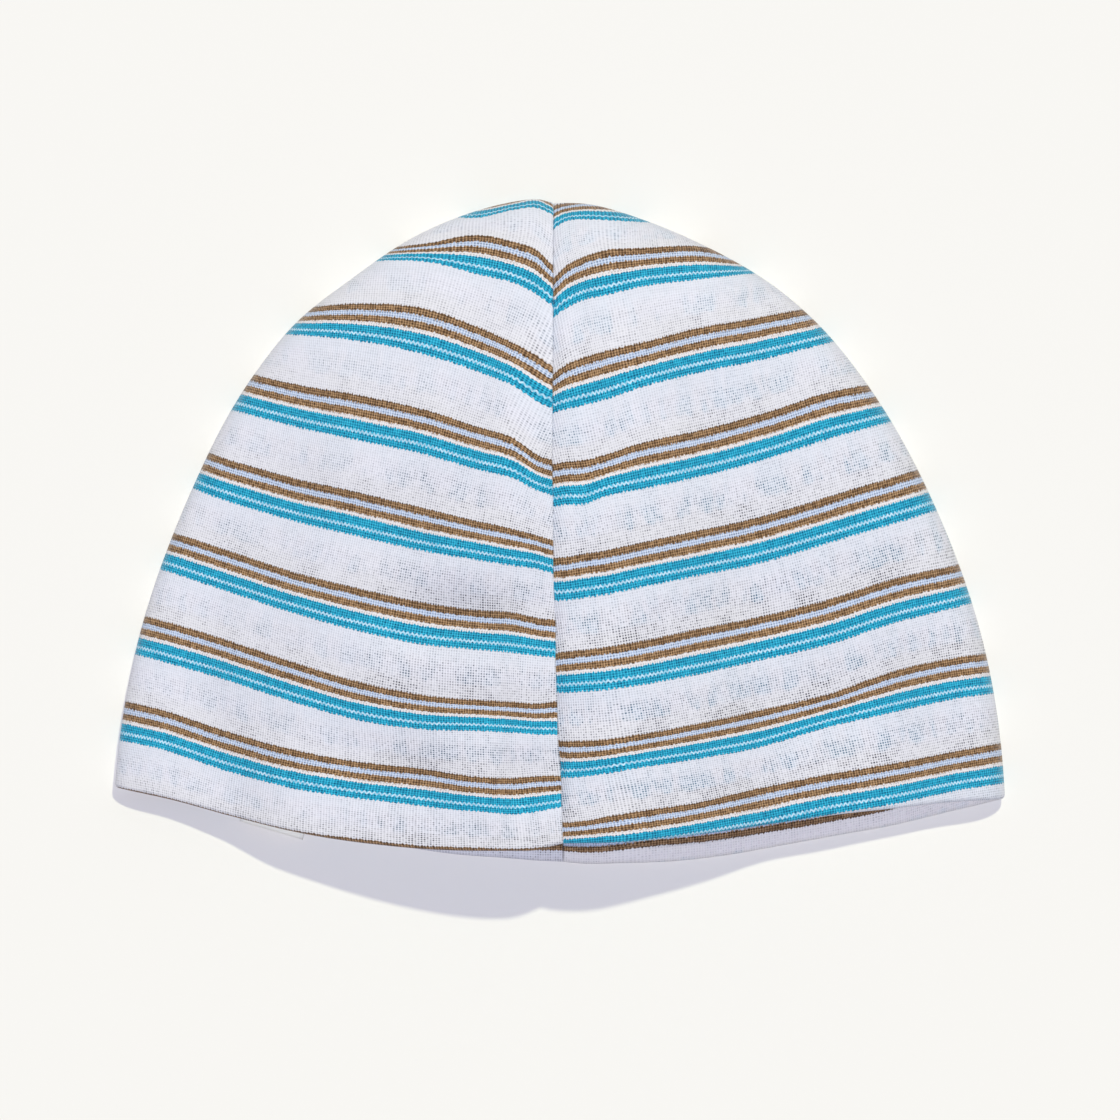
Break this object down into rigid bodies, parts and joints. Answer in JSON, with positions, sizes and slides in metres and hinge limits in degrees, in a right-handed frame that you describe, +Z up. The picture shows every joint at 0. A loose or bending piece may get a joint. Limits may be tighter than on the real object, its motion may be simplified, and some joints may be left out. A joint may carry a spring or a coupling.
{
  "type": "striped beanie",
  "caption": "Soft double-layer jersey beanie with a centre seam, fine stripes and a folded hem, lying on its back with its front puffed up.",
  "frame": {"origin": "bottom centre of the cap's bounding box, on the surface that its back lies on", "axes": "+X to the right of the pictured front, +Y from the mouth to the crown, +Z up out of the puffed front"},
  "size_m": [0.1998, 0.1496, 0.0334],
  "materials": {
    "left_jersey": "fine matt jersey with brown, pale blue and teal stripes",
    "right_jersey": "fine matt jersey with brown, pale blue and teal stripes",
    "lining_jersey": "the same jersey turned inside",
    "hem_jersey": "turned edge with a brown stripe at the fold",
    "seam_thread": "sewn ridge of white thread and jersey edges",
    "label_tape": "blank satin tape"
  },
  "bodies": {
    "root": {"left_outer_panel": "left_jersey", "right_outer_panel": "right_jersey", "left_lining": "lining_jersey", "right_lining": "lining_jersey", "left_hem_fold": "hem_jersey", "right_hem_fold": "hem_jersey", "centre_seam": "seam_thread", "care_label": "label_tape"}
  },
  "joints": []
}
